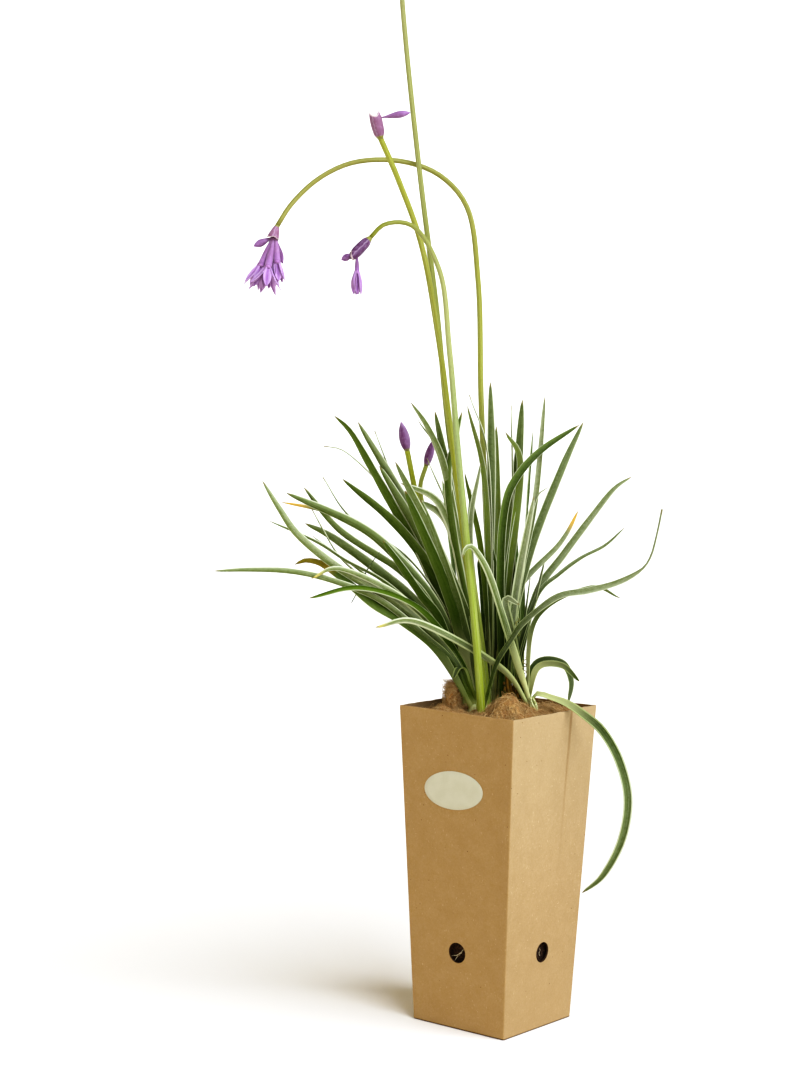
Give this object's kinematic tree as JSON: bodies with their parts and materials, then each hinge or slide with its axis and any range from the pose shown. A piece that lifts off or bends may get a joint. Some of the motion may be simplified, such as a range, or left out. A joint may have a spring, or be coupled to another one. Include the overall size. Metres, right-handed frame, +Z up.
{
  "type": "potted variegated society garlic",
  "caption": "Variegated society garlic in a tall tapered kraft board carton, with grassy white-edged leaves, arching stalks and lilac flowers.",
  "frame": {"origin": "centre of the carton's underside, on the surface it stands on", "axes": "+Z up, -Y out of the carton face with the oval label, +X out of the face beside it on the right"},
  "size_m": [0.2758, 0.3141, 0.8056],
  "materials": {
    "kraft_board": "matte",
    "label_paper": "satin",
    "potting_mix": "matte",
    "coir": "matte",
    "leaf": "satin",
    "stalk": "satin",
    "flower": "matte",
    "bud": "satin"
  },
  "bodies": {
    "root": {"back_left": "leaf", "back_middle": "leaf", "back_right": "leaf", "carton": "kraft_board", "coir": "coir", "head_bud_a": "bud", "head_bud_b": "bud", "head_great": "flower", "head_near": "flower", "head_tall": "flower", "head_upper": "flower", "label": "label_paper", "root_ball": "potting_mix", "shoot_front": "leaf", "shoot_left_high": "leaf", "shoot_left_low": "leaf", "shoot_left_mid": "leaf", "shoot_left_steep": "leaf", "shoot_middle": "leaf", "shoot_right_back": "leaf", "shoot_right_high": "leaf", "shoot_right_low": "leaf", "stalk_bud_a": "stalk", "stalk_bud_b": "stalk", "stalk_great": "stalk", "stalk_near": "stalk", "stalk_tall": "stalk", "stalk_upper": "stalk"}
  },
  "joints": []
}
